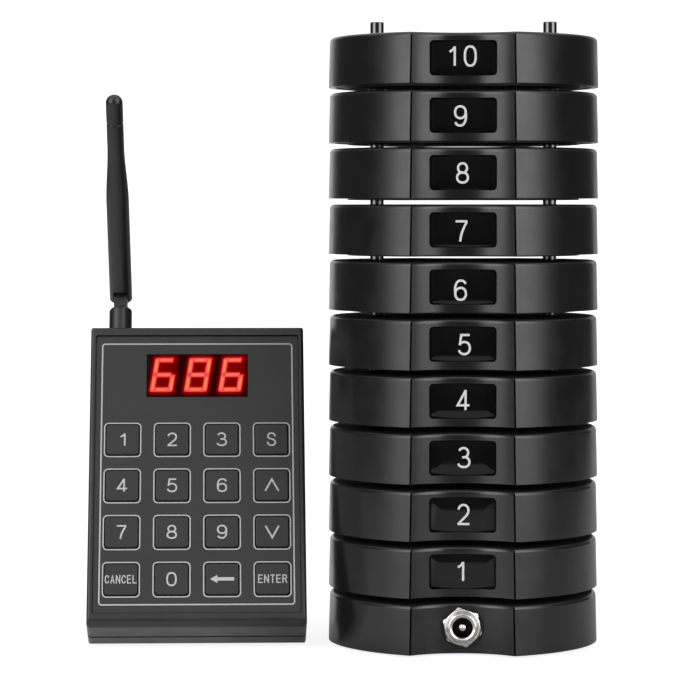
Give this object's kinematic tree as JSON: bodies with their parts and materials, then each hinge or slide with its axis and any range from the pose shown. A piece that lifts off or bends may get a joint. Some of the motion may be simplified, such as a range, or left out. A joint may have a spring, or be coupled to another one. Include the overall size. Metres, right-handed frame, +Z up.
{
  "type": "guest pager system",
  "caption": "Stack of scooped guest pagers on a charging dock, with a leaning keypad transmitter that has a display, a folding antenna and a prop leg.",
  "frame": {"origin": "centre of the charging dock's underside, on the surface that everything stands on", "axes": "+Z up along the stack's axis, -Y towards the user (jack, number windows and keypad face that way), +X to the user's right; the transmitter stands on the -X side"},
  "size_m": [0.2053, 0.1046, 0.2454],
  "materials": {
    "pager_plastic": "satin moulded black",
    "cover_plastic": "fine matt texture",
    "number_plate": "polished black with white figures",
    "contact_metal": "bright nickel plating",
    "circuit_board": "green lacquer",
    "battery_cell": "foil pouch",
    "foot_rubber": "matt rubber",
    "jack_metal": "nickel plating",
    "case_plastic": "matt charcoal",
    "panel_plastic": "matt charcoal with grey print",
    "key_plastic": "matt charcoal with grey legend",
    "display_lens": "dark red tinted window",
    "display_module": "black",
    "keypad_rubber": "silicone",
    "socket_plastic": "black",
    "screw_steel": "zinc plated",
    "antenna_rubber": "matt black rubber"
  },
  "bodies": {
    "dock": {"dock_shell": "pager_plastic", "dock_cover": "cover_plastic", "dock_foot_pad": "foot_rubber", "dock_charge_posts": "contact_metal", "dock_power_jack": "jack_metal", "dock_jack_nut": "jack_metal", "dock_board": "circuit_board"},
    "pager_01": {"pager_01_case": "pager_plastic", "pager_01_works": "circuit_board"},
    "pager_02": {"pager_02_case": "pager_plastic", "pager_02_works": "circuit_board"},
    "pager_03": {"pager_03_case": "pager_plastic", "pager_03_works": "circuit_board"},
    "pager_04": {"pager_04_case": "pager_plastic", "pager_04_works": "circuit_board"},
    "pager_05": {"pager_05_case": "pager_plastic", "pager_05_works": "circuit_board"},
    "pager_06": {"pager_06_case": "pager_plastic", "pager_06_works": "circuit_board"},
    "pager_07": {"pager_07_case": "pager_plastic", "pager_07_works": "circuit_board"},
    "pager_08": {"pager_08_case": "pager_plastic", "pager_08_works": "circuit_board"},
    "pager_09": {"pager_09_case": "pager_plastic", "pager_09_works": "circuit_board"},
    "pager_10": {"pager_10_shell": "pager_plastic", "pager_10_bottom_cover": "cover_plastic", "pager_10_number_plate": "number_plate", "pager_10_charge_contacts": "contact_metal", "pager_10_board": "circuit_board", "pager_10_battery": "battery_cell"},
    "transmitter": {"tx_case_front": "case_plastic", "tx_case_back": "case_plastic", "tx_face_panel": "panel_plastic", "tx_display_lens": "display_lens", "tx_display_module": "display_module", "tx_keypad_mat": "keypad_rubber", "tx_main_board": "circuit_board", "tx_power_socket": "socket_plastic", "tx_case_screws": "screw_steel", "tx_rubber_feet": "foot_rubber"},
    "key_1": {"key_1": "key_plastic"},
    "key_2": {"key_2": "key_plastic"},
    "key_3": {"key_3": "key_plastic"},
    "key_s": {"key_s": "key_plastic"},
    "key_4": {"key_4": "key_plastic"},
    "key_5": {"key_5": "key_plastic"},
    "key_6": {"key_6": "key_plastic"},
    "key_up": {"key_up": "key_plastic"},
    "key_7": {"key_7": "key_plastic"},
    "key_8": {"key_8": "key_plastic"},
    "key_9": {"key_9": "key_plastic"},
    "key_down": {"key_down": "key_plastic"},
    "key_cancel": {"key_cancel": "key_plastic"},
    "key_0": {"key_0": "key_plastic"},
    "key_back": {"key_back": "key_plastic"},
    "key_enter": {"key_enter": "key_plastic"},
    "antenna_base": {"antenna_base": "antenna_rubber"},
    "antenna_whip": {"antenna_whip": "antenna_rubber"},
    "prop_leg": {"prop_leg": "case_plastic"}
  },
  "joints": [
    {"name": "pager_01_lift", "type": "slide", "parent": "dock", "child": "pager_01", "axis": [0, 0, 1], "range_m": [0, 0.03]},
    {"name": "pager_02_lift", "type": "slide", "parent": "pager_01", "child": "pager_02", "axis": [0, 0, 1], "range_m": [0, 0.03]},
    {"name": "pager_03_lift", "type": "slide", "parent": "pager_02", "child": "pager_03", "axis": [0, 0, 1], "range_m": [0, 0.03]},
    {"name": "pager_04_lift", "type": "slide", "parent": "pager_03", "child": "pager_04", "axis": [0, 0, 1], "range_m": [0, 0.03]},
    {"name": "pager_05_lift", "type": "slide", "parent": "pager_04", "child": "pager_05", "axis": [0, 0, 1], "range_m": [0, 0.03]},
    {"name": "pager_06_lift", "type": "slide", "parent": "pager_05", "child": "pager_06", "axis": [0, 0, 1], "range_m": [0, 0.03]},
    {"name": "pager_07_lift", "type": "slide", "parent": "pager_06", "child": "pager_07", "axis": [0, 0, 1], "range_m": [0, 0.03]},
    {"name": "pager_08_lift", "type": "slide", "parent": "pager_07", "child": "pager_08", "axis": [0, 0, 1], "range_m": [0, 0.03]},
    {"name": "pager_09_lift", "type": "slide", "parent": "pager_08", "child": "pager_09", "axis": [0, 0, 1], "range_m": [0, 0.03]},
    {"name": "pager_10_lift", "type": "slide", "parent": "pager_09", "child": "pager_10", "axis": [0, 0, 1], "range_m": [0, 0.03]},
    {"name": "transmitter_lift", "type": "slide", "parent": "dock", "child": "transmitter", "axis": [0, 0, 1], "range_m": [0, 0.1]},
    {"name": "key_1_press", "type": "slide", "parent": "transmitter", "child": "key_1", "axis": [-0.0668, 0.8885, -0.454], "range_m": [0, 0.001], "stiffness_N_per_m": 500},
    {"name": "key_2_press", "type": "slide", "parent": "transmitter", "child": "key_2", "axis": [-0.0668, 0.8885, -0.454], "range_m": [0, 0.001], "stiffness_N_per_m": 500},
    {"name": "key_3_press", "type": "slide", "parent": "transmitter", "child": "key_3", "axis": [-0.0668, 0.8885, -0.454], "range_m": [0, 0.001], "stiffness_N_per_m": 500},
    {"name": "key_s_press", "type": "slide", "parent": "transmitter", "child": "key_s", "axis": [-0.0668, 0.8885, -0.454], "range_m": [0, 0.001], "stiffness_N_per_m": 500},
    {"name": "key_4_press", "type": "slide", "parent": "transmitter", "child": "key_4", "axis": [-0.0668, 0.8885, -0.454], "range_m": [0, 0.001], "stiffness_N_per_m": 500},
    {"name": "key_5_press", "type": "slide", "parent": "transmitter", "child": "key_5", "axis": [-0.0668, 0.8885, -0.454], "range_m": [0, 0.001], "stiffness_N_per_m": 500},
    {"name": "key_6_press", "type": "slide", "parent": "transmitter", "child": "key_6", "axis": [-0.0668, 0.8885, -0.454], "range_m": [0, 0.001], "stiffness_N_per_m": 500},
    {"name": "key_up_press", "type": "slide", "parent": "transmitter", "child": "key_up", "axis": [-0.0668, 0.8885, -0.454], "range_m": [0, 0.001], "stiffness_N_per_m": 500},
    {"name": "key_7_press", "type": "slide", "parent": "transmitter", "child": "key_7", "axis": [-0.0668, 0.8885, -0.454], "range_m": [0, 0.001], "stiffness_N_per_m": 500},
    {"name": "key_8_press", "type": "slide", "parent": "transmitter", "child": "key_8", "axis": [-0.0668, 0.8885, -0.454], "range_m": [0, 0.001], "stiffness_N_per_m": 500},
    {"name": "key_9_press", "type": "slide", "parent": "transmitter", "child": "key_9", "axis": [-0.0668, 0.8885, -0.454], "range_m": [0, 0.001], "stiffness_N_per_m": 500},
    {"name": "key_down_press", "type": "slide", "parent": "transmitter", "child": "key_down", "axis": [-0.0668, 0.8885, -0.454], "range_m": [0, 0.001], "stiffness_N_per_m": 500},
    {"name": "key_cancel_press", "type": "slide", "parent": "transmitter", "child": "key_cancel", "axis": [-0.0668, 0.8885, -0.454], "range_m": [0, 0.001], "stiffness_N_per_m": 500},
    {"name": "key_0_press", "type": "slide", "parent": "transmitter", "child": "key_0", "axis": [-0.0668, 0.8885, -0.454], "range_m": [0, 0.001], "stiffness_N_per_m": 500},
    {"name": "key_back_press", "type": "slide", "parent": "transmitter", "child": "key_back", "axis": [-0.0668, 0.8885, -0.454], "range_m": [0, 0.001], "stiffness_N_per_m": 500},
    {"name": "key_enter_press", "type": "slide", "parent": "transmitter", "child": "key_enter", "axis": [-0.0668, 0.8885, -0.454], "range_m": [0, 0.001], "stiffness_N_per_m": 500},
    {"name": "antenna_swivel", "type": "hinge", "parent": "transmitter", "child": "antenna_base", "pos_m": [-0.13959, 0.03043, 0.12003], "axis": [-0.034, 0.4527, 0.891], "range_deg": [-180, 180]},
    {"name": "antenna_tilt", "type": "hinge", "parent": "antenna_base", "child": "antenna_whip", "pos_m": [-0.1402, 0.03858, 0.13607], "axis": [0.9984, 0.0564, 0.0095], "range_deg": [-141, 39]},
    {"name": "prop_leg_fold", "type": "hinge", "parent": "transmitter", "child": "prop_leg", "pos_m": [-0.1069, 0.01456, 0.05751], "axis": [0.9972, 0.075, 0], "range_deg": [-48, 0]}
  ]
}
